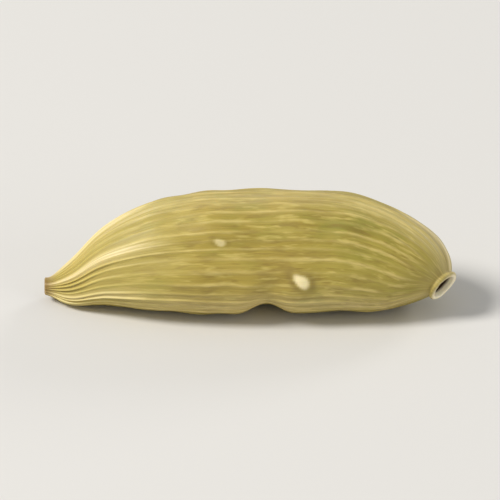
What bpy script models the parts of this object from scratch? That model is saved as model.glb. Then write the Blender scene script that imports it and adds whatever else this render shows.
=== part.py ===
"""Green cardamom pod: one dried, three-sided capsule that lies on its flattest side.

Metres, +Z up. X runs from the beak (low X) to the stalk (high X), and Y across the pod.
The origin is under the middle of the pod, at the level of the surface that it lies on.

The pod is one closed surface. It starts as a UV sphere, whose rings are moved to stations
along a bent spine. The first pole ends in the pit of the beak, the last in the stalk's hollow.
"""

import math

import bmesh
import bpy
from mathutils import Vector

NAME = "pod"

# Body. Distances along the spine are counted from the end of the beak.
BODY_LENGTH = 0.0207
FULLEST_AT = 0.0111
HALF_THICKNESS = 0.00296
WIDER_THAN_HIGH = 1.13
BEAK_TAPER = 3.0
STALK_TAPER = 2.37
STALK_ROUNDNESS = 0.395
NECK_BLEND = 4
THREE_SIDED = 0.062
THREE_SIDED_AT_ENDS = 0.3
THREE_SIDED_FROM = 0.0060
THREE_SIDED_TO = 0.0150
TWIST = math.radians(-14)

# Spine: how far the underside rises from the surface, and how the stalk end bends aside.
BELLY_CURVE = 3.5
BELLY_LOWEST_AT = 0.0102
CHIN_LIFT = 0.00011
CHIN_FROM = 0.0020
CHIN_TO = 0.0086
HOOK = 0.00027
HOOK_AT = 0.0014
HOOK_LENGTH = 0.0010
STALK_SAG = 0.00024
STALK_SAG_FROM = 0.0145
STALK_SAG_LATENESS = 1.5
STALK_DIRECTION = Vector((0.68, -0.60, -0.42)).normalized()
BEND_FROM = 0.0112
BEND_POWER = 2.2
SETTLED_BY = 0.00005

# Relief: ribs along the pod, six ridges that run out of the beak, a shallow groove down each
# side, and swellings over the seeds. It fades in and out at the ends. A higher sharpness makes
# a narrower crest or groove.
RELIEF_FROM = -0.0006
RELIEF_FULL_FROM = 0.0010
RELIEF_FULL_TO = 0.0188
RELIEF_TO = 0.0205
RIBS = 36
RIB_HEIGHT = 0.00004
RIB_HEIGHT_AT_BEAK = 0.00009
RIB_SHARPNESS = 1.5
CORNER_RIB_GAIN = 1.4
CORNER_SHARPNESS = 14
BEAK_RIDGES = 6
BEAK_RIDGE_HEIGHT = 0.00012
BEAK_RIDGE_SHARPNESS = 4
BEAK_RIDGE_ANGLE = math.radians(77)
BEAK_RIDGES_STRONGEST_AT = math.radians(107)
BEAK_RIDGES_LEAST = 0.45
BEAK_RIDGES_FULL_FROM = 0.0013
BEAK_RELIEF_FULL_TO = 0.0010
BEAK_RELIEF_TO = 0.0080
SEPTUM_GROOVE = 0.00010
GROOVE_SHARPNESS = 10
SEED_SWELLING = 0.00005
SEED_SPACING = 0.0031
SEED_SHIFT = 2.1
SEED_UNEVENNESS = 1.4
SEEDS_FROM = 0.0030
SEEDS_FULL_FROM = 0.0070
SEEDS_FULL_TO = 0.0150
SEEDS_TO = 0.0190

# Uneven spacing of the ribs, as waves round the pod. Each has its size in turns, its number
# of waves, its phase at the beak, and the phase that it gains along the pod.
RIB_WAVES = [(0.0060, 4, 1.3, 0.0), (0.0045, 7, 4.1, 0.0), (0.0030, 3, 0.0, 5.5)]

# The dent in the front of the underside, and the flattest side, which the pod lies on.
DENT_DEPTH = 0.00061
DENT_AT = 0.01105
DENT_BEFORE = 0.00092
DENT_AFTER = 0.00078
DENT_ANGLE = math.radians(234)
DENT_SPREAD = math.radians(34)
REST_ANGLE = math.radians(270)
REST_SPREAD = math.radians(24)

# Beak and stalk stub.
BEAK_RADIUS = 0.00040
BEAK_PIT = 0.00018
NECK_RADIUS = 0.00079
NECK_LENGTH = 0.00015
LIP_RADIUS = 0.00088
LIP_THICKNESS = 0.00026
HOLLOW_DEPTH = 0.00070

# Rings of the beak's pit and blunt edge: place along the spine, share of the beak's radius,
# share of the body's relief, and material.
BEAK_PROFILE = [
    (BEAK_PIT, 0.0, 0.0, "pith"),
    (BEAK_PIT * 0.7, 0.26, 0.0, "pith"),
    (0.00003, 0.44, 0.2, "pith"),
    (-0.00005, 0.76, 0.4, "stalk"),
]

# Rings of the stalk's hollow, as shares of its depth and of its radius.
HOLLOW_PROFILE = [(0.5, 0.90), (1.0, 0.55), (1.0, 0.0)]

# Mesh.
COLUMNS_PER_RIB = 3
BODY_RINGS = 41
END_CROWDING = 0.55
LIP_STEPS = 5
LIP_START = 0.1


def smooth(low, high, x):
    """0 below low, 1 above high, and an even S between them."""
    t = min(1.0, max(0.0, (x - low) / (high - low)))
    return t * t * (3 - 2 * t)


def bell(x, width):
    return math.exp(-((x / width) ** 2))


def angle_between(angle, other):
    return math.remainder(angle - other, 2 * math.pi)


def body_radius(along):
    """Half the thickness of the bare body: a long taper to the beak and a round stalk end."""
    if along < FULLEST_AT:
        return HALF_THICKNESS * (1 - (1 - along / FULLEST_AT) ** BEAK_TAPER)
    t = min(1.0, (along - FULLEST_AT) / (BODY_LENGTH - FULLEST_AT))
    return HALF_THICKNESS * (1 - t**STALK_TAPER) ** STALK_ROUNDNESS


def ring_radius(along):
    """The body's radius, which runs out smoothly into the beak and into the stalk's neck."""
    if along < FULLEST_AT:
        return math.hypot(body_radius(along), BEAK_RADIUS * (1 - along / FULLEST_AT))
    t = min(1.0, (along - FULLEST_AT) / (BODY_LENGTH - FULLEST_AT))
    powers = body_radius(along) ** NECK_BLEND + (NECK_RADIUS * t) ** NECK_BLEND
    return powers ** (1 / NECK_BLEND)


def underside(along):
    """Height of the bare underside over the surface."""
    height = BELLY_CURVE * (along - BELLY_LOWEST_AT) ** 2
    height += CHIN_LIFT * (1 - smooth(CHIN_FROM, CHIN_TO, along))
    height -= HOOK * bell(along - HOOK_AT, HOOK_LENGTH)
    late = max(0.0, along - STALK_SAG_FROM) / (BODY_LENGTH - STALK_SAG_FROM)
    return height - STALK_SAG * math.sin(math.pi * late**STALK_SAG_LATENESS)


def bend_share(along):
    """How far a ring has turned towards the stalk's direction, and how far it has moved."""
    length = BODY_LENGTH - BEND_FROM
    t = max(0.0, along - BEND_FROM) / length
    return t**BEND_POWER, length * t ** (BEND_POWER + 1) / (BEND_POWER + 1)


def ring_frame(along):
    """Middle of the ring and its two directions: across the pod, and over it."""
    inside = min(max(along, 0.0), BODY_LENGTH)
    turned, moved = bend_share(inside)
    normal = Vector((1, 0, 0)).lerp(STALK_DIRECTION, turned).normalized()
    straight = min(inside, BEND_FROM)
    height = underside(inside) + ring_radius(straight) * (1 - THREE_SIDED)
    if inside > BEND_FROM:
        height -= (ring_radius(BEND_FROM) - HALF_THICKNESS) * (1 - THREE_SIDED)
    middle = Vector((inside - moved, 0, height)) + STALK_DIRECTION * moved
    middle += normal * (along - inside)
    across = Vector((0, 0, 1)).cross(normal).normalized()
    return middle, across, normal.cross(across)


def wander(turn, along):
    """How far a rib is shifted round the pod, in turns."""
    shift = 0
    for size, waves, phase, gain in RIB_WAVES:
        shift += size * math.sin(2 * math.pi * waves * turn + phase + gain * along / BODY_LENGTH)
    return shift


def side_form(angle, along):
    """The three-sided section as a share of the radius: one corner on top, two low ones."""
    inner = smooth(0, THREE_SIDED_FROM, along) * (1 - smooth(THREE_SIDED_TO, BODY_LENGTH, along))
    depth = THREE_SIDED * (THREE_SIDED_AT_ENDS + (1 - THREE_SIDED_AT_ENDS) * inner)
    turned = angle - TWIST * (along / BODY_LENGTH - 0.5) - math.pi / 2
    return 1 + depth * math.cos(3 * turned)


def wave(phase, sharpness):
    """1 on each crest of a cosine and 0 between them."""
    return (0.5 + 0.5 * math.cos(phase)) ** sharpness


def beak_ridge(angle):
    """The ridges that run out of the beak, strongest on the front of the pod's top."""
    most = wave(angle - BEAK_RIDGES_STRONGEST_AT, 1)
    strength = BEAK_RIDGES_LEAST + (1 - BEAK_RIDGES_LEAST) * most
    return strength * wave(BEAK_RIDGES * (angle - BEAK_RIDGE_ANGLE), BEAK_RIDGE_SHARPNESS)


def relief_height(turn, angle, along):
    """Height of the ribs, the beak's ridges, the side grooves and the swellings over seeds."""
    share = along / BODY_LENGTH
    third = 3 * (angle - math.pi / 2)
    at_beak = 1 - smooth(BEAK_RELIEF_FULL_TO, BEAK_RELIEF_TO, along)
    rib = RIB_HEIGHT + (RIB_HEIGHT_AT_BEAK - RIB_HEIGHT) * at_beak
    strength = 0.75 + 0.25 * math.sin(2 * math.pi * 5 * turn + 6 * share)
    strength += CORNER_RIB_GAIN * wave(third, CORNER_SHARPNESS)
    height = rib * strength * wave(2 * math.pi * RIBS * turn, RIB_SHARPNESS)
    ridge = beak_ridge(angle) * smooth(0, BEAK_RIDGES_FULL_FROM, along)
    height += BEAK_RIDGE_HEIGHT * ridge * at_beak
    full = smooth(SEEDS_FROM, SEEDS_FULL_FROM, along) * (1 - smooth(SEEDS_FULL_TO, SEEDS_TO, along))
    height -= SEPTUM_GROOVE * wave(third + math.pi, GROOVE_SHARPNESS) * full
    shifted = SEED_SHIFT * math.sin(angle + 0.6) + SEED_UNEVENNESS * math.sin(11 * share + 2 * angle)
    beat = math.cos(2 * math.pi * along / SEED_SPACING + shifted)
    height += SEED_SWELLING * wave(2 * third + math.pi, 1) * beat * full
    at_rest = bell(angle_between(angle, REST_ANGLE), REST_SPREAD)
    return height * (1 - at_rest * full)


def dent(angle, along):
    """One fold in the front of the underside, steeper on the stalk's side."""
    length = DENT_BEFORE if along < DENT_AT else DENT_AFTER
    across = bell(angle_between(angle, DENT_ANGLE), DENT_SPREAD)
    at_rest = bell(angle_between(angle, REST_ANGLE), REST_SPREAD)
    return DENT_DEPTH * bell(along - DENT_AT, length) * across * (1 - at_rest)


def stations():
    """Each ring as (distance along the spine, radius, share of the body's relief, material)."""
    rings = []
    for depth, share, relief, slot in BEAK_PROFILE:
        rings.append((depth, BEAK_RADIUS * share, relief, slot))
    for k in range(BODY_RINGS + 1):
        even = k / BODY_RINGS
        crowded = (1 - math.cos(math.pi * even)) / 2
        along = BODY_LENGTH * (even + END_CROWDING * (crowded - even))
        relief = smooth(RELIEF_FROM, RELIEF_FULL_FROM, along)
        relief *= 1 - smooth(RELIEF_FULL_TO, RELIEF_TO, along)
        rings.append((along, ring_radius(along), relief, "husk"))
    lip_at = BODY_LENGTH + NECK_LENGTH
    tube = LIP_THICKNESS / 2
    for k in range(LIP_STEPS + 1):
        angle = math.pi * (k / LIP_STEPS - LIP_START)
        radius = LIP_RADIUS - tube + tube * math.cos(angle)
        rings.append((lip_at + tube * math.sin(angle), radius, 0.0, "stalk"))
    inside = LIP_RADIUS - LIP_THICKNESS
    for depth, share in HOLLOW_PROFILE:
        rings.append((lip_at - HOLLOW_DEPTH * depth, inside * share, 0.0, "pith"))
    return rings


def surface_point(ring, turn):
    along, radius, relief, _ = ring
    angle = 2 * math.pi * (turn + relief * wander(turn, along))
    reach = radius * (1 + (side_form(angle, along) - 1) * relief)
    reach += relief * (relief_height(turn, angle, along) - dent(angle, along))
    wide = 1 + (WIDER_THAN_HIGH - 1) * relief
    middle, across, over = ring_frame(along)
    point = middle + across * (reach * wide * math.cos(angle)) + over * (reach * math.sin(angle))
    point.z = max(0.0, point.z - SETTLED_BY)
    return point


def material(name, colour, roughness):
    made = bpy.data.materials.new(name)
    made.use_nodes = True
    shader = made.node_tree.nodes["Principled BSDF"]
    shader.inputs["Base Color"].default_value = (*colour, 1)
    shader.inputs["Roughness"].default_value = roughness
    shader.inputs["Metallic"].default_value = 0
    made.diffuse_color = (*colour, 1)
    return made


def centre_on_origin(mesh):
    """Moves the mesh so that its box stands centred on the origin."""
    for axis in (0, 1):
        places = [vertex.co[axis] for vertex in mesh.verts]
        shift = Vector((0, 0, 0))
        shift[axis] = -(min(places) + max(places)) / 2
        bmesh.ops.translate(mesh, verts=mesh.verts, vec=shift)


def build_pod():
    rings = stations()
    rows = len(rings) - 1
    columns = RIBS * COLUMNS_PER_RIB
    materials = {
        "husk": material("husk", (0.44, 0.36, 0.10), 0.55),
        "stalk": material("stalk", (0.62, 0.50, 0.30), 0.70),
        "pith": material("pith", (0.09, 0.045, 0.02), 0.90),
    }
    order = list(materials)

    mesh = bmesh.new()
    bmesh.ops.create_uvsphere(mesh, u_segments=columns, v_segments=rows, radius=1)
    row_of = {}
    for vertex in mesh.verts:
        x, y, z = vertex.co
        row = round(math.acos(max(-1.0, min(1.0, -z))) / math.pi * rows)
        column = round(math.atan2(y, x) / (2 * math.pi) * columns) % columns
        row_of[vertex] = row
        vertex.co = surface_point(rings[row], column / columns)
    for face in mesh.faces:
        face.smooth = True
        last = max(row_of[vertex] for vertex in face.verts)
        first = min(row_of[vertex] for vertex in face.verts)
        nearer_end = first if last < rows / 2 else last
        face.material_index = order.index(rings[nearer_end][3])
    centre_on_origin(mesh)

    data = bpy.data.meshes.new(NAME)
    mesh.to_mesh(data)
    mesh.free()
    for name in order:
        data.materials.append(materials[name])
    return bpy.data.objects.new(NAME, data)


def main():
    for old in list(bpy.data.objects):
        bpy.data.objects.remove(old)
    collection = bpy.data.collections.new("green_cardamom_pod")
    bpy.context.scene.collection.children.link(collection)
    collection.objects.link(build_pod())


main()
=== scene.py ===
"""Looks of the green cardamom pod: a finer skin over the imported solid, its materials and a studio."""

import math

import bmesh
import bpy
import numpy as np
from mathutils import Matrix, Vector, noise


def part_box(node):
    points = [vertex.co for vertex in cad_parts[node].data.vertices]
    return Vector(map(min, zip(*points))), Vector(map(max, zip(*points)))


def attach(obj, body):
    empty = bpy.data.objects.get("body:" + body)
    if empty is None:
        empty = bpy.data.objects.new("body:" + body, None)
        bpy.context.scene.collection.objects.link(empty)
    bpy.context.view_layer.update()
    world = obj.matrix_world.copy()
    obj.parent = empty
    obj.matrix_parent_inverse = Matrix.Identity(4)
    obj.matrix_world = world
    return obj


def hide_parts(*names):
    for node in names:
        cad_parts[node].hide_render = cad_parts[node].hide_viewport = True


# The form is the solid's own, in metres. Only the ribs' crests are sharper here, and the beak's
# pit and the stalk's hollow have more rings.

# Body. Distances along the spine are counted from the end of the beak.
BODY_LENGTH = 0.0207
FULLEST_AT = 0.0111
HALF_THICKNESS = 0.00296
WIDER_THAN_HIGH = 1.13
BEAK_TAPER = 3.0
STALK_TAPER = 2.37
STALK_ROUNDNESS = 0.395
NECK_BLEND = 4
THREE_SIDED = 0.062
THREE_SIDED_AT_ENDS = 0.3
THREE_SIDED_FROM = 0.0060
THREE_SIDED_TO = 0.0150
TWIST = math.radians(-14)

# Spine: how far the underside rises from the surface, and how the stalk end bends aside.
BELLY_CURVE = 3.5
BELLY_LOWEST_AT = 0.0102
CHIN_LIFT = 0.00011
CHIN_FROM = 0.0020
CHIN_TO = 0.0086
HOOK = 0.00027
HOOK_AT = 0.0014
HOOK_LENGTH = 0.0010
STALK_SAG = 0.00024
STALK_SAG_FROM = 0.0145
STALK_SAG_LATENESS = 1.5
STALK_DIRECTION = Vector((0.68, -0.60, -0.42)).normalized()
BEND_FROM = 0.0112
BEND_POWER = 2.2
SETTLED_BY = 0.00005

# Relief: ribs along the pod, six ridges that run out of the beak, a shallow groove down each
# side, and swellings over the seeds. It fades in and out at the ends. A higher sharpness makes
# a narrower crest or groove.
RELIEF_FROM = -0.0006
RELIEF_FULL_FROM = 0.0010
RELIEF_FULL_TO = 0.0188
RELIEF_TO = 0.0205
RIBS = 36
RIB_HEIGHT = 0.00004
RIB_HEIGHT_AT_BEAK = 0.00009
RIB_SHARPNESS = 4
CORNER_RIB_GAIN = 1.4
CORNER_SHARPNESS = 14
BEAK_RIDGES = 6
BEAK_RIDGE_HEIGHT = 0.00012
BEAK_RIDGE_SHARPNESS = 4
BEAK_RIDGE_ANGLE = math.radians(77)
BEAK_RIDGES_STRONGEST_AT = math.radians(107)
BEAK_RIDGES_LEAST = 0.45
BEAK_RIDGES_FULL_FROM = 0.0013
BEAK_RELIEF_FULL_TO = 0.0010
BEAK_RELIEF_TO = 0.0080
SEPTUM_GROOVE = 0.00010
GROOVE_SHARPNESS = 10
SEED_SWELLING = 0.00005
SEED_SPACING = 0.0031
SEED_SHIFT = 2.1
SEED_SHIFT_ANGLE = 0.6
SEED_UNEVENNESS = 1.4
SEED_WAVES_ALONG = 11
SEEDS_FROM = 0.0030
SEEDS_FULL_FROM = 0.0070
SEEDS_FULL_TO = 0.0150
SEEDS_TO = 0.0190

# Uneven spacing of the ribs, as waves round the pod. Each has its size in turns, its number
# of waves, its phase at the beak, and the phase that it gains along the pod.
RIB_WAVES = [(0.0060, 4, 1.3, 0.0), (0.0045, 7, 4.1, 0.0), (0.0030, 3, 0.0, 5.5)]

# The dent in the front of the underside, and the flattest side, which the pod lies on.
DENT_DEPTH = 0.00061
DENT_AT = 0.01105
DENT_BEFORE = 0.00092
DENT_AFTER = 0.00078
DENT_ANGLE = math.radians(234)
DENT_SPREAD = math.radians(34)
REST_ANGLE = math.radians(270)
REST_SPREAD = math.radians(24)

# Beak and stalk stub.
BEAK_RADIUS = 0.00040
BEAK_PIT = 0.00018
NECK_RADIUS = 0.00079
NECK_LENGTH = 0.00015
LIP_RADIUS = 0.00088
LIP_THICKNESS = 0.00026
HOLLOW_DEPTH = 0.00070

# Rings of the beak's pit and blunt edge: place along the spine, share of the beak's radius,
# share of the body's relief, and share of the pit's brown, which deepens as painted shade
# towards the bottom of the pit.
BEAK_PROFILE = [
    (BEAK_PIT, 0.00, 0.0, 1.0),
    (BEAK_PIT * 0.9, 0.14, 0.0, 1.0),
    (BEAK_PIT * 0.6, 0.28, 0.0, 1.0),
    (0.00003, 0.44, 0.2, 0.7),
    (-0.00003, 0.60, 0.3, 0.4),
    (-0.00005, 0.76, 0.4, 0.2),
    (-0.00003, 0.90, 0.4, 0.1),
]

# Rings of the stalk's hollow, as shares of its depth and of its radius. Its wall is pale near
# the lip and dark further in: brown pith, darkened deeper in by painted shade.
HOLLOW_PROFILE = [
    (0.12, 0.99),
    (0.24, 0.96),
    (0.36, 0.93),
    (0.50, 0.90),
    (0.80, 0.75),
    (1.00, 0.55),
    (1.00, 0.25),
    (1.00, 0.00),
]
HOLLOW_PALE_TO = 0.10
HOLLOW_SHADE_FROM = 0.36

# Finer mesh and finer relief of the skin that is seen. The round edge of the stalk's lip starts
# LIP_START half turns before its outermost line.
COLUMNS = 360
BODY_RINGS = 222
END_CROWDING = 0.35
LIP_STEPS = 12
LIP_START = 0.1
FINE_VEINS = 108
FINE_VEIN_HEIGHT = 0.000012
FINE_VEIN_LEAN = 3
FINE_VEIN_PATCHES_ROUND = 11
FINE_VEIN_PATCHES_LEAN = 14
CRINKLE = 0.000030
CRINKLE_ALONG = 0.0024
CRINKLE_ACROSS = 0.0011
CRINKLE_LEAST_RADIUS = 0.001
CRINKLE_FINER = 2.3
CRINKLE_FINER_SHARE = 0.5
CRINKLE_FINER_SHIFT = Vector((7, 3, 5))

# The ribs differ in strength, by a wave that steps from rib to rib and gains along the pod. A
# second wave shifts its phase, so that no order shows.
RIB_STRENGTH_LEAST = 0.40
RIB_STRENGTH_MOST = 1.3
RIB_STRENGTH_STEP = 2.4
RIB_STRENGTH_GAIN = 9
RIB_SHIFT = 2
RIB_SHIFT_STEP = 5.1
RIB_SHIFT_GAIN = 4

# The stalk's lip turns from the husk's colour to cream round its outer edge, but stays greener
# on its upper near side, as painted shade beside the lit far rim. Its rim is uneven, by waves
# with their size, number and phase.
LIP_PALE_FROM = 0.25
LIP_PALE_FULL = 0.58
LIP_NEAR_SHADE = 0.75
LIP_NEAR_SHADE_AT = math.radians(131)
LIP_NEAR_SHADE_SHARPNESS = 3
RIM_ROUGHNESS = 0.030
RIM_WAVES = [(1.0, 3, 0.7), (0.7, 5, 2.0), (0.5, 11, 0.0)]

# Pale ridges: the upper edge of the beak, the edge that leads to the stalk, and the corners. The
# corners are the husk's own paler ridges; the beak and stalk edges are partly that and partly
# painted highlight along the outline.
BEAK_EDGE_SPREAD = math.radians(18)
BEAK_EDGE_FULL_TO = 0.0028
BEAK_EDGE_TO = 0.0070
BEAK_RIDGE_PALENESS_POWER = 1.5
STALK_EDGE_ANGLE = math.radians(78)
STALK_EDGE_TURN = math.radians(-20)
STALK_EDGE_TURNS_FROM = 0.0165
STALK_EDGE_SPREAD = math.radians(10)
STALK_EDGE_FROM = 0.0160
STALK_EDGE_FULL_FROM = 0.0195
CORNER_PALENESS = 0.35
CORNER_PALE_SHARPNESS = 6

# Pale flecks: place along, angle, half-lengths along and across, lean, height and strength.
FLECKS = [
    (0.01286, math.radians(179), 0.00036, 0.00042, 0.45, 0.00003, 1.0),
    (0.00875, math.radians(140), 0.00026, 0.00022, 0.30, 0.00001, 0.50),
]

# Outlines of the flecks: waves with their size, number and phase. The distance from the middle
# counts as a share of the half-lengths. Its square says where the colour starts to fade and is
# gone, and the distance itself where the brown edge lies.
FLECK_WAVES = [(0.10, 2, 0.8), (0.08, 3, 2.6)]
FLECK_SOLID_TO = 0.25
FLECK_GONE_AT = 1.35
FLECK_EDGE_AT = 1.45
FLECK_EDGE_SPREAD = 0.40
FLECK_EDGE_LEAST = 0.3

# Colours of the husk, as linear shares of red, green and blue. GREENER multiplies them.
OLIVE = (0.290, 0.252, 0.036)
BRONZE = (0.385, 0.286, 0.046)
STRAW = (0.430, 0.320, 0.056)
TAN = (0.350, 0.240, 0.046)
LEAF = (0.285, 0.275, 0.032)
STREAK = (0.490, 0.380, 0.072)
DARK_DASH = (0.250, 0.168, 0.028)
LIGHT_DASH = (0.660, 0.535, 0.150)
FIBRE = (0.270, 0.195, 0.036)
# Pale rib crests: partly the ribs' own paler fibre, partly painted highlight on the crests.
RIB_CREST_AND_HIGHLIGHT = (0.620, 0.495, 0.160)
# Paler beak skin: partly the beak's own paler colour, partly painted light on the lit beak end.
BEAK_SKIN_AND_HIGHLIGHT = (0.720, 0.590, 0.180)
# Painted shade in the grooves between the ribs near the beak.
BEAK_GROOVE_SHADE = (0.290, 0.205, 0.040)
# Pale ridges: the husk's own paler ridges, and near the beak and stalk also painted highlight.
PALE_RIDGE_AND_HIGHLIGHT = (0.920, 0.770, 0.410)
BEAK_TIP = (0.240, 0.110, 0.045)
STALK_END = (0.560, 0.450, 0.180)
FLECK_EDGE = (0.200, 0.130, 0.030)
CUT_STALK = (0.950, 0.860, 0.620)
# Dark brown of the hollow and pit: partly brown pith, partly painted shade deep in the recesses.
HOLLOW_BROWN_AND_SHADE = (0.055, 0.026, 0.008)
FLECK = (0.950, 0.820, 0.450)
GREENER = (0.930, 1.000, 0.960)
FLOOR_COLOUR = (0.72, 0.71, 0.69)

# Patches of the husk: each colour and where it lies on the patches' noise.
HUSK_RAMP = [(0.34, OLIVE), (0.45, BRONZE), (0.56, STRAW), (0.68, TAN)]

# Noise of the husk: its stretch along and across the pod, its detail and its shift.
PATCH_NOISE = ((5.0, 1.6, 1.6), 3, 0.0)
STREAK_NOISE = ((4.0, 10.0, 10.0), 4, 3.1)
LIGHT_DASH_NOISE = ((17.0, 13.0, 13.0), 2, 8.7)
DARK_DASH_NOISE = ((15.0, 12.0, 12.0), 2, 21.3)
FIBRE_NOISE = ((7.0, 46.0, 46.0), 3, 0.0)
GREEN_NOISE = ((4.5, 2.2, 2.2), 2, 14.2)
GRAIN_NOISE = ((60.0, 60.0, 60.0), 3, 0.0)
NOISE_ROUGHNESS = 0.55

# How each layer of the husk shows: where the value that it follows starts and ends its change,
# and, where these aren't 0 and 1, the layer's share at those two values.
LEAF_SHOWS = (0.56, 0.70, 0.0, 0.45)
STREAK_SHOWS = (0.40, 0.66, 0.0, 0.55)
GREENER_SHOWS = (0.10, 0.26)
DARK_DASH_SHOWS = (0.52, 0.68, 0.0, 0.60)
LIGHT_DASH_SHOWS = (0.54, 0.68, 0.0, 0.65)
FIBRE_SHOWS = (0.38, 0.66, 0.0, 0.35)
RIB_AND_HIGHLIGHT_SHOWS = (0.30, 0.62, 0.15, 0.75)
BEAK_SKIN_AND_HIGHLIGHT_SHOWS = (0.38, 0.08, 0.0, 0.50)
GROOVE_SHADE_SHOWS_BETWEEN_RIBS = (0.22, 0.0)
GROOVE_SHADE_SHOWS_NEAR_BEAK = (0.28, 0.06, 0.0, 0.60)
RIDGE_AND_HIGHLIGHT_SHOWS = (0.60, 0.40, 0.45, 1.00)
BEAK_TIP_SHOWS = (0.030, 0.0, 0.0, 0.60)
STALK_END_SHOWS = (0.96, 1.0, 0.0, 0.30)
HOLLOW_SHADE_SHOWS = (0.0, 0.8)
FLECK_EDGE_SHARE = 0.55

# The husk is less green round the middle of the pod, at this share of its length. The noise of
# the patches makes the ends of that stretch uneven.
MIDDLE = 0.47
MIDDLE_UNEVENNESS = (0.3, 0.7, -0.06, 0.06)

# Surface of the husk, whose roughness follows the streaks' noise, and of the floor.
HUSK_ROUGHNESS = (0.3, 0.7, 0.44, 0.58)
CUT_ROUGHNESS = 0.85
GRAIN_SHARE = 0.25
BUMP_STRENGTH = 0.35
BUMP_DISTANCE = 0.00004
SPECULAR_LEVEL = 0.45
SUBSURFACE_WEIGHT = 0.10
SUBSURFACE_RADIUS = (1.0, 0.7, 0.25)
SUBSURFACE_SCALE = 0.0004
FLOOR_SIZE = 3
FLOOR_ROUGHNESS = 0.9

# Camera, and lights with their places, sizes in metres, powers in watts and colours.
CAMERA_ELEVATION = math.radians(28)
CAMERA_DISTANCE = 0.55
FRAME_WIDTH = 0.0250
CAMERA_AIM = Vector((0, 0, 0.0028))
CLIP_START = 0.01
CLIP_END = 10
LIGHTS = [
    ("key", (-0.46, -0.14, 0.50), 0.26, 4.4, (1.0, 0.97, 0.92)),
    ("fill", (0.52, -0.34, 0.20), 0.36, 0.65, (1.0, 0.99, 0.96)),
    ("rim", (0.40, 0.42, 0.24), 0.20, 0.8, (1.0, 0.98, 0.94)),
]
SKY_COLOUR = (0.98, 0.99, 1.0)
SKY_STRENGTH = 0.36


def smooth(low, high, x):
    t = np.clip((x - low) / (high - low), 0, 1)
    return t * t * (3 - 2 * t)


def bell(x, width):
    return np.exp(-((x / width) ** 2))


def angle_between(angle, other):
    return (angle - other + math.pi) % (2 * math.pi) - math.pi


def body_radius(along):
    if along < FULLEST_AT:
        return HALF_THICKNESS * (1 - (1 - along / FULLEST_AT) ** BEAK_TAPER)
    t = min(1.0, (along - FULLEST_AT) / (BODY_LENGTH - FULLEST_AT))
    return HALF_THICKNESS * (1 - t**STALK_TAPER) ** STALK_ROUNDNESS


def ring_radius(along):
    if along < FULLEST_AT:
        return math.hypot(body_radius(along), BEAK_RADIUS * (1 - along / FULLEST_AT))
    t = min(1.0, (along - FULLEST_AT) / (BODY_LENGTH - FULLEST_AT))
    powers = body_radius(along) ** NECK_BLEND + (NECK_RADIUS * t) ** NECK_BLEND
    return powers ** (1 / NECK_BLEND)


def underside(along):
    height = BELLY_CURVE * (along - BELLY_LOWEST_AT) ** 2
    height += CHIN_LIFT * (1 - float(smooth(CHIN_FROM, CHIN_TO, along)))
    height -= HOOK * float(bell(along - HOOK_AT, HOOK_LENGTH))
    late = max(0.0, along - STALK_SAG_FROM) / (BODY_LENGTH - STALK_SAG_FROM)
    return height - STALK_SAG * math.sin(math.pi * late**STALK_SAG_LATENESS)


def bend_share(along):
    length = BODY_LENGTH - BEND_FROM
    t = max(0.0, along - BEND_FROM) / length
    return t**BEND_POWER, length * t ** (BEND_POWER + 1) / (BEND_POWER + 1)


def ring_frame(along):
    """Middle of the ring and its two directions: across the pod, and over it."""
    inside = min(max(along, 0.0), BODY_LENGTH)
    turned, moved = bend_share(inside)
    normal = Vector((1, 0, 0)).lerp(STALK_DIRECTION, turned).normalized()
    straight = min(inside, BEND_FROM)
    height = underside(inside) + ring_radius(straight) * (1 - THREE_SIDED)
    if inside > BEND_FROM:
        height -= (ring_radius(BEND_FROM) - HALF_THICKNESS) * (1 - THREE_SIDED)
    middle = Vector((inside - moved, 0, height)) + STALK_DIRECTION * moved
    middle += normal * (along - inside)
    across = Vector((0, 0, 1)).cross(normal).normalized()
    return middle, across, normal.cross(across)


def wander(turn, along):
    """How far a rib is shifted round the pod, in turns."""
    shift = 0
    for size, waves, phase, gain in RIB_WAVES:
        shift = shift + size * np.sin(
            2 * math.pi * waves * turn + phase + gain * along / BODY_LENGTH
        )
    return shift


def side_form(angle, along):
    inner = smooth(0, THREE_SIDED_FROM, along) * (1 - smooth(THREE_SIDED_TO, BODY_LENGTH, along))
    depth = THREE_SIDED * (THREE_SIDED_AT_ENDS + (1 - THREE_SIDED_AT_ENDS) * inner)
    turned = angle - TWIST * (along / BODY_LENGTH - 0.5) - math.pi / 2
    return 1 + depth * np.cos(3 * turned)


def wave(phase, sharpness):
    """1 on each crest of a cosine and 0 between them."""
    return (0.5 + 0.5 * np.cos(phase)) ** sharpness


def rib_crests(turn, along):
    """Shape of the main ribs, 0 between them and 1 on their crests, and each rib's strength."""
    share = along / BODY_LENGTH
    number = np.round(turn * RIBS) % RIBS
    shift = RIB_SHIFT * np.sin(number * RIB_SHIFT_STEP + RIB_SHIFT_GAIN * share)
    uneven = 0.5 + 0.5 * np.sin(number * RIB_STRENGTH_STEP + RIB_STRENGTH_GAIN * share + shift)
    strength = RIB_STRENGTH_LEAST + (RIB_STRENGTH_MOST - RIB_STRENGTH_LEAST) * uneven**2
    return wave(2 * math.pi * RIBS * turn, RIB_SHARPNESS), strength


def beak_ridge(angle):
    """The ridges that run out of the beak, strongest on the front of the pod's top."""
    most = wave(angle - BEAK_RIDGES_STRONGEST_AT, 1)
    strength = BEAK_RIDGES_LEAST + (1 - BEAK_RIDGES_LEAST) * most
    return strength * wave(BEAK_RIDGES * (angle - BEAK_RIDGE_ANGLE), BEAK_RIDGE_SHARPNESS)


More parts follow.
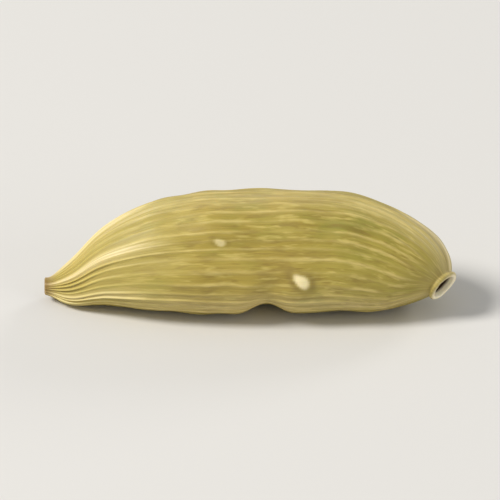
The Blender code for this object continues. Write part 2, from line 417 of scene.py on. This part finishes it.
def relief_height(turn, angle, along):
    """Height of the ribs, the beak's ridges, the side grooves and the swellings over seeds."""
    share = along / BODY_LENGTH
    third = 3 * (angle - math.pi / 2)
    at_beak = 1 - smooth(BEAK_RELIEF_FULL_TO, BEAK_RELIEF_TO, along)
    rib = RIB_HEIGHT + (RIB_HEIGHT_AT_BEAK - RIB_HEIGHT) * at_beak
    crest, strength = rib_crests(turn, along)
    height = rib * (strength + CORNER_RIB_GAIN * wave(third, CORNER_SHARPNESS)) * crest
    ridge = beak_ridge(angle) * smooth(0, BEAK_RIDGES_FULL_FROM, along)
    height += BEAK_RIDGE_HEIGHT * ridge * at_beak
    full = smooth(SEEDS_FROM, SEEDS_FULL_FROM, along) * (1 - smooth(SEEDS_FULL_TO, SEEDS_TO, along))
    height -= SEPTUM_GROOVE * wave(third + math.pi, GROOVE_SHARPNESS) * full
    shifted = SEED_SHIFT * np.sin(angle + SEED_SHIFT_ANGLE)
    shifted += SEED_UNEVENNESS * np.sin(SEED_WAVES_ALONG * share + 2 * angle)
    beat = np.cos(2 * math.pi * along / SEED_SPACING + shifted)
    height += SEED_SWELLING * wave(2 * third + math.pi, 1) * beat * full
    veins = wave(2 * math.pi * FINE_VEINS * turn + FINE_VEIN_LEAN * share, 2)
    veins *= wave(FINE_VEIN_PATCHES_ROUND * angle + FINE_VEIN_PATCHES_LEAN * share, 1)
    height += FINE_VEIN_HEIGHT * veins
    at_rest = bell(angle_between(angle, REST_ANGLE), REST_SPREAD)
    return height * (1 - at_rest * full)


def dent(angle, along):
    length = DENT_BEFORE if along < DENT_AT else DENT_AFTER
    across = bell(angle_between(angle, DENT_ANGLE), DENT_SPREAD)
    at_rest = bell(angle_between(angle, REST_ANGLE), REST_SPREAD)
    return DENT_DEPTH * bell(along - DENT_AT, length) * across * (1 - at_rest)


def crinkle(angle, along, radius):
    """Shallow unevenness of the dried skin, from noise that runs along the pod."""
    heights = np.empty(len(angle))
    for k, a in enumerate(angle):
        side = radius / CRINKLE_ACROSS
        place = Vector((along / CRINKLE_ALONG, math.cos(a) * side, math.sin(a) * side))
        finer = noise.noise(place * CRINKLE_FINER + CRINKLE_FINER_SHIFT)
        heights[k] = noise.noise(place) + CRINKLE_FINER_SHARE * finer
    return CRINKLE * heights


def stations():
    """Each ring as (distance along the spine, radius, relief, stalk, pit) with the shares 0 to 1; the
    pit share is brown that deepens as painted shade into the pit and hollow.
    """
    rings = []
    for depth, share, relief, pit in BEAK_PROFILE:
        rings.append((depth, BEAK_RADIUS * share, relief, 0.0, pit))
    for k in range(BODY_RINGS + 1):
        even = k / BODY_RINGS
        crowded = (1 - math.cos(math.pi * even)) / 2
        along = BODY_LENGTH * (even + END_CROWDING * (crowded - even))
        relief = float(smooth(RELIEF_FROM, RELIEF_FULL_FROM, along))
        relief *= 1 - float(smooth(RELIEF_FULL_TO, RELIEF_TO, along))
        rings.append((along, ring_radius(along), relief, 0.0, 0.0))
    lip_at = BODY_LENGTH + NECK_LENGTH
    tube = LIP_THICKNESS / 2
    for k in range(LIP_STEPS + 1):
        angle = math.pi * (k / LIP_STEPS - LIP_START)
        radius = LIP_RADIUS - tube + tube * math.cos(angle)
        end_face = float(smooth(LIP_PALE_FROM, LIP_PALE_FULL, k / LIP_STEPS))
        rings.append((lip_at + tube * math.sin(angle), radius, 0.0, end_face, 0.0))
    inside = LIP_RADIUS - LIP_THICKNESS
    for depth, share in HOLLOW_PROFILE:
        brown_and_shade = float(smooth(HOLLOW_PALE_TO, HOLLOW_SHADE_FROM, depth))
        rings.append((lip_at - HOLLOW_DEPTH * depth, inside * share, 0.0, 1.0, brown_and_shade))
    return rings


def pale_ridges_and_highlight(angle, along):
    """How pale the skin is along the corners, near the beak and along the edge to the stalk; near the
    beak and the stalk this is partly painted highlight along the outline.
    """
    corner = wave(3 * (angle - math.pi / 2), CORNER_PALE_SHARPNESS)
    near_beak = 1 - smooth(BEAK_EDGE_FULL_TO, BEAK_EDGE_TO, along)
    near_stalk = smooth(STALK_EDGE_FROM, STALK_EDGE_FULL_FROM, along)
    beak_edge_and_highlight = bell(angle_between(angle, BEAK_RIDGE_ANGLE), BEAK_EDGE_SPREAD)
    beak_edge_and_highlight = np.maximum(beak_edge_and_highlight, beak_ridge(angle) ** BEAK_RIDGE_PALENESS_POWER)
    turned = float(smooth(STALK_EDGE_TURNS_FROM, BODY_LENGTH, along))
    stalk_edge_angle = STALK_EDGE_ANGLE + STALK_EDGE_TURN * turned
    stalk_edge_and_highlight = bell(angle_between(angle, stalk_edge_angle), STALK_EDGE_SPREAD)
    ends = np.maximum(beak_edge_and_highlight * near_beak, stalk_edge_and_highlight * near_stalk)
    return np.maximum(CORNER_PALENESS * corner, ends)


def waves_round(angle, waves):
    return sum(size * np.sin(number * angle + phase) for size, number, phase in waves)


def fleck_share(angle, along):
    """Where the pale flecks and their brown edges lie, and how far each stands up."""
    share = np.zeros(len(angle))
    edge = np.zeros(len(angle))
    height = np.zeros(len(angle))
    for at, turned, length, width, lean, raised, strength in FLECKS:
        across = angle_between(angle, turned) * HALF_THICKNESS
        leaning = along - at - lean * across
        round_it = np.arctan2(across / width, leaning / length)
        uneven = 1 + waves_round(round_it, FLECK_WAVES)
        far = ((leaning / length) ** 2 + (across / width) ** 2) / uneven**2
        share = np.maximum(share, strength * (1 - smooth(FLECK_SOLID_TO, FLECK_GONE_AT, far)))
        beside = FLECK_EDGE_LEAST + (1 - FLECK_EDGE_LEAST) * np.cos(round_it) ** 2
        ring = bell(np.sqrt(far) - FLECK_EDGE_AT, FLECK_EDGE_SPREAD)
        edge = np.maximum(edge, strength * beside * ring)
        height += raised * np.exp(-far)
    return share, edge, height


def rough_rim(angle, stalk):
    """The cut edge of the stalk is a little uneven."""
    return 1 + RIM_ROUGHNESS * stalk * waves_round(angle, RIM_WAVES)


def skin_rows(rings):
    """Each ring's corners, the shares that colour them, and their places for the noise."""
    turn = np.arange(COLUMNS) / COLUMNS
    grid = np.zeros((len(rings), COLUMNS, 3))
    names = ("rib", "stalk", "pit", "fleck", "fleck_edge", "ridge")
    facts = {name: np.zeros((len(rings), COLUMNS)) for name in names}
    skin = np.zeros((len(rings), COLUMNS, 3))
    for row, (along, radius, relief, stalk, pit) in enumerate(rings):
        angle = 2 * math.pi * (turn + relief * wander(turn, along))
        fleck, fleck_edge, fleck_height = fleck_share(angle, along)
        reach = radius * (1 + (side_form(angle, along) - 1) * relief)
        reach = reach * rough_rim(angle, stalk)
        raised = relief_height(turn, angle, along) - dent(angle, along) + fleck_height
        crinkled = crinkle(angle, along, max(radius, CRINKLE_LEAST_RADIUS))
        reach = reach + relief * (raised + crinkled)
        wide = 1 + (WIDER_THAN_HIGH - 1) * relief
        middle, across, over = ring_frame(along)
        side = np.outer(reach * wide * np.cos(angle), across)
        up = np.outer(reach * np.sin(angle), over)
        grid[row] = np.array(middle) + side + up
        crest, strength = rib_crests(turn, along)
        facts["rib"][row] = crest * strength * relief
        # Painted shade: the lip stays greener on its upper near side, beside the lit far rim.
        near_shade = LIP_NEAR_SHADE * wave(angle - LIP_NEAR_SHADE_AT, LIP_NEAR_SHADE_SHARPNESS)
        facts["stalk"][row] = stalk * (1 - near_shade)
        facts["pit"][row] = pit
        facts["fleck"][row] = fleck
        facts["fleck_edge"][row] = fleck_edge
        # The ridge share holds the pale corners and, near the beak and stalk, painted highlight.
        facts["ridge"][row] = pale_ridges_and_highlight(angle, along) * (1 - stalk)
        share = along / BODY_LENGTH
        skin[row] = np.stack([np.full(COLUMNS, share), np.cos(angle), np.sin(angle)], axis=1)
    grid[..., 2] = np.maximum(0, grid[..., 2] - SETTLED_BY)
    return grid, facts, skin


def pod_skin():
    """One closed surface, from a sphere whose rings are moved to their stations."""
    rings = stations()
    rows = len(rings) - 1
    grid, facts, skin = skin_rows(rings)
    mesh = bmesh.new()
    bmesh.ops.create_uvsphere(mesh, u_segments=COLUMNS, v_segments=rows, radius=1)
    places = []
    for vertex in mesh.verts:
        x, y, z = vertex.co
        up_the_sphere = math.acos(max(-1.0, min(1.0, -z)))
        row = round(up_the_sphere / math.pi * rows)
        column = round(math.atan2(y, x) / (2 * math.pi) * COLUMNS) % COLUMNS
        places.append((row, column))
        vertex.co = grid[row, column]
    for face in mesh.faces:
        face.smooth = True
    data = bpy.data.meshes.new("pod_skin")
    mesh.to_mesh(data)
    mesh.free()
    picks = tuple(np.array(places).T)
    for name, values in facts.items():
        layer = data.attributes.new(name, "FLOAT", "POINT")
        layer.data.foreach_set("value", values[picks].astype(np.float32))
    layer = data.attributes.new("skin", "FLOAT_VECTOR", "POINT")
    layer.data.foreach_set("vector", skin[picks].astype(np.float32).ravel())
    return data


def fit_to_box(data, low, high):
    """Moves and scales a mesh, by very little, so that it fills the solid's box and no more."""
    count = len(data.vertices)
    spots = np.empty(count * 3)
    data.vertices.foreach_get("co", spots)
    spots = spots.reshape(-1, 3)
    mine_low, mine_high = spots.min(0), spots.max(0)
    low, high = np.array(low), np.array(high)
    spots = low + (spots - mine_low) * (high - low) / (mine_high - mine_low)
    data.vertices.foreach_set("co", spots.ravel())
    data.update()


class Graph:
    """Short ways to add and link shader nodes."""

    def __init__(self, name):
        self.material = bpy.data.materials.new(name)
        self.material.use_nodes = True
        self.tree = self.material.node_tree
        self.shader = self.tree.nodes["Principled BSDF"]

    def add(self, kind, links=(), values=(), **settings):
        made = self.tree.nodes.new(kind)
        for key, value in settings.items():
            setattr(made, key, value)
        for key, value in dict(values).items():
            made.inputs[key].default_value = value
        for key, source in dict(links).items():
            self.tree.links.new(source, made.inputs[key])
        return made

    def attribute(self, name, output="Fac"):
        return self.add("ShaderNodeAttribute", attribute_name=name).outputs[output]

    def noise(self, vector, stretch, detail, shift):
        moved = self.add(
            "ShaderNodeMapping",
            {"Vector": vector},
            {"Scale": stretch, "Location": (shift, shift, shift)},
        )
        made = self.add(
            "ShaderNodeTexNoise",
            {"Vector": moved.outputs[0]},
            {"Scale": 1.0, "Detail": detail, "Roughness": NOISE_ROUGHNESS},
        )
        return made.outputs["Fac"]

    def math(self, operation, a, b):
        made = self.add("ShaderNodeMath", operation=operation)
        for key, value in enumerate((a, b)):
            if isinstance(value, (int, float)):
                made.inputs[key].default_value = value
            else:
                self.tree.links.new(value, made.inputs[key])
        return made.outputs[0]

    def span(self, value, low, high, to_low=0.0, to_high=1.0):
        made = self.add(
            "ShaderNodeMapRange",
            {"Value": value},
            {"From Min": low, "From Max": high, "To Min": to_low, "To Max": to_high},
        )
        return made.outputs[0]

    def mix(self, share, a, b, blend="MIX"):
        made = self.add("ShaderNodeMix", data_type="RGBA", blend_type=blend)
        for key, value in ((0, share), (6, a), (7, b)):
            if isinstance(value, tuple):
                made.inputs[key].default_value = (*value, 1)
            elif isinstance(value, (int, float)):
                made.inputs[key].default_value = value
            else:
                self.tree.links.new(value, made.inputs[key])
        return made.outputs[2]

    def ramp(self, value, stops):
        made = self.add("ShaderNodeValToRGB", {"Fac": value})
        bar = made.color_ramp
        while len(bar.elements) < len(stops):
            bar.elements.new(0.5)
        for element, (place, colour) in zip(bar.elements, stops):
            element.position = place
            element.color = (*colour, 1)
        return made.outputs["Color"]

    def to_shader(self, key, source):
        self.tree.links.new(source, self.shader.inputs[key])


def husk_material():
    """Olive to straw skin with pale veins and short streaks, paler ends and a brown hollow.
    Painted highlight lies on the rib crests, the beak end and the ridges along the outline;
    painted shade lies in the beak's grooves, on the lip's near side and deep in the hollow and pit.
    """
    g = Graph("husk")
    skin = g.attribute("skin", "Vector")
    rib = g.attribute("rib")
    stalk = g.attribute("stalk")
    pit = g.attribute("pit")
    fleck = g.attribute("fleck")
    fleck_edge = g.attribute("fleck_edge")
    ridge = g.attribute("ridge")
    along = g.add("ShaderNodeSeparateXYZ", {"Vector": skin}).outputs[0]

    patches = g.noise(skin, *PATCH_NOISE)
    streaks = g.noise(skin, *STREAK_NOISE)
    light_dashes = g.noise(skin, *LIGHT_DASH_NOISE)
    dark_dashes = g.noise(skin, *DARK_DASH_NOISE)
    fibres = g.noise(skin, *FIBRE_NOISE)
    greens = g.noise(skin, *GREEN_NOISE)
    grain = g.noise(skin, *GRAIN_NOISE)

    # The skin all over the pod: patches, streaks, dashes and fibres.
    colour = g.ramp(patches, HUSK_RAMP)
    colour = g.mix(g.span(greens, *LEAF_SHOWS), colour, LEAF)
    colour = g.mix(g.span(streaks, *STREAK_SHOWS), colour, STREAK)
    off_middle = g.math("ABSOLUTE", g.math("SUBTRACT", along, MIDDLE), 0.0)
    off_middle = g.math("ADD", off_middle, g.span(patches, *MIDDLE_UNEVENNESS))
    colour = g.mix(g.span(off_middle, *GREENER_SHOWS), colour, GREENER, "MULTIPLY")
    colour = g.mix(g.span(dark_dashes, *DARK_DASH_SHOWS), colour, DARK_DASH)
    colour = g.mix(g.span(light_dashes, *LIGHT_DASH_SHOWS), colour, LIGHT_DASH)
    colour = g.mix(g.span(fibres, *FIBRE_SHOWS), colour, FIBRE)
    # The rib crests go pale: partly their own paler fibre, partly painted highlight on the crests.
    ribs_and_highlight_seen = g.math("MULTIPLY", rib, g.span(light_dashes, *RIB_AND_HIGHLIGHT_SHOWS))
    colour = g.mix(ribs_and_highlight_seen, colour, RIB_CREST_AND_HIGHLIGHT)

    # What changes towards the ends: the paler beak, partly its own paler skin and partly painted
    # light on the lit beak end, its grooves with painted shade, and the pale ridges with painted
    # highlight.
    colour = g.mix(g.span(along, *BEAK_SKIN_AND_HIGHLIGHT_SHOWS), colour, BEAK_SKIN_AND_HIGHLIGHT)
    # Painted shade darkens the grooves between the ribs near the beak.
    shade_between_ribs = g.span(rib, *GROOVE_SHADE_SHOWS_BETWEEN_RIBS)
    near_beak = g.span(along, *GROOVE_SHADE_SHOWS_NEAR_BEAK)
    colour = g.mix(g.math("MULTIPLY", shade_between_ribs, near_beak), colour, BEAK_GROOVE_SHADE)
    # Pale ridges: partly the husk's own, partly painted highlight along the outline.
    pale_and_highlight = g.math("MULTIPLY", ridge, g.span(fibres, *RIDGE_AND_HIGHLIGHT_SHOWS))
    colour = g.mix(pale_and_highlight, colour, PALE_RIDGE_AND_HIGHLIGHT)
    colour = g.mix(g.span(along, *BEAK_TIP_SHOWS), colour, BEAK_TIP)
    colour = g.mix(g.span(along, *STALK_END_SHOWS), colour, STALK_END)

    # The cut stalk, the beak's pit and the stalk's hollow, whose dark brown is partly painted
    # shade, and the flecks.
    colour = g.mix(g.math("MULTIPLY", fleck_edge, FLECK_EDGE_SHARE), colour, FLECK_EDGE)
    colour = g.mix(stalk, colour, CUT_STALK)
    # Painted shade: the pit and hollow darken towards near-black deeper in.
    colour = g.mix(g.span(pit, *HOLLOW_SHADE_SHOWS), colour, HOLLOW_BROWN_AND_SHADE)
    colour = g.mix(fleck, colour, FLECK)
    g.to_shader("Base Color", colour)

    cut = g.math("MULTIPLY", g.math("MAXIMUM", stalk, pit), CUT_ROUGHNESS)
    g.to_shader("Roughness", g.math("MAXIMUM", g.span(streaks, *HUSK_ROUGHNESS), cut))
    height = g.math("ADD", fibres, g.math("MULTIPLY", grain, GRAIN_SHARE))
    bump = g.add(
        "ShaderNodeBump",
        {"Height": height},
        {"Strength": BUMP_STRENGTH, "Distance": BUMP_DISTANCE},
    )
    g.to_shader("Normal", bump.outputs[0])
    g.shader.inputs["Specular IOR Level"].default_value = SPECULAR_LEVEL
    g.shader.inputs["Subsurface Weight"].default_value = SUBSURFACE_WEIGHT
    g.shader.inputs["Subsurface Radius"].default_value = SUBSURFACE_RADIUS
    g.shader.inputs["Subsurface Scale"].default_value = SUBSURFACE_SCALE
    return g.material


def add_floor():
    bpy.ops.mesh.primitive_plane_add(size=FLOOR_SIZE, location=(0, 0, 0))
    floor = bpy.context.object
    floor.name = "floor"
    g = Graph("floor")
    g.shader.inputs["Base Color"].default_value = (*FLOOR_COLOUR, 1)
    g.shader.inputs["Roughness"].default_value = FLOOR_ROUGHNESS
    floor.data.materials.append(g.material)


def area_light(name, place, size, power, colour):
    data = bpy.data.lights.new(name, "AREA")
    data.shape = "DISK"
    data.size = size
    data.energy = power
    data.color = colour
    light = bpy.data.objects.new(name, data)
    light.location = place
    light.rotation_euler = (-Vector(place)).to_track_quat("-Z", "Y").to_euler()
    bpy.context.scene.collection.objects.link(light)


def add_light():
    world = bpy.data.worlds.new("studio")
    world.use_nodes = True
    background = world.node_tree.nodes["Background"]
    background.inputs["Color"].default_value = (*SKY_COLOUR, 1)
    background.inputs["Strength"].default_value = SKY_STRENGTH
    bpy.context.scene.world = world
    for name, place, size, power, colour in LIGHTS:
        area_light(name, place, size, power, colour)


def add_camera():
    back = Vector((0, -math.cos(CAMERA_ELEVATION), math.sin(CAMERA_ELEVATION)))
    data = bpy.data.cameras.new("camera")
    data.lens = data.sensor_width * CAMERA_DISTANCE / FRAME_WIDTH
    data.clip_start = CLIP_START
    data.clip_end = CLIP_END
    camera = bpy.data.objects.new("camera", data)
    camera.location = CAMERA_AIM + back * CAMERA_DISTANCE
    camera.rotation_euler = (-back).to_track_quat("-Z", "Y").to_euler()
    bpy.context.scene.collection.objects.link(camera)
    bpy.context.scene.camera = camera


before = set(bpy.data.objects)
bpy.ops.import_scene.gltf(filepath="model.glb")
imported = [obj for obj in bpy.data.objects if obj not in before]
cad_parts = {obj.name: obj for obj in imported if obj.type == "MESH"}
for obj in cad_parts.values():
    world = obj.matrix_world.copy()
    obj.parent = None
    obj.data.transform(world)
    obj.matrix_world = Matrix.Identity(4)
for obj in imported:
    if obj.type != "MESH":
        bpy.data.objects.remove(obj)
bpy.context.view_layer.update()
low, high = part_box("pod")

skin_data = pod_skin()
fit_to_box(skin_data, low, high)
skin_data.materials.append(husk_material())
skin_piece = bpy.data.objects.new("pod_skin", skin_data)
bpy.context.scene.collection.objects.link(skin_piece)
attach(skin_piece, "root")
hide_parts("pod")

add_floor()
add_light()
add_camera()
bpy.context.scene.view_settings.view_transform = "Standard"
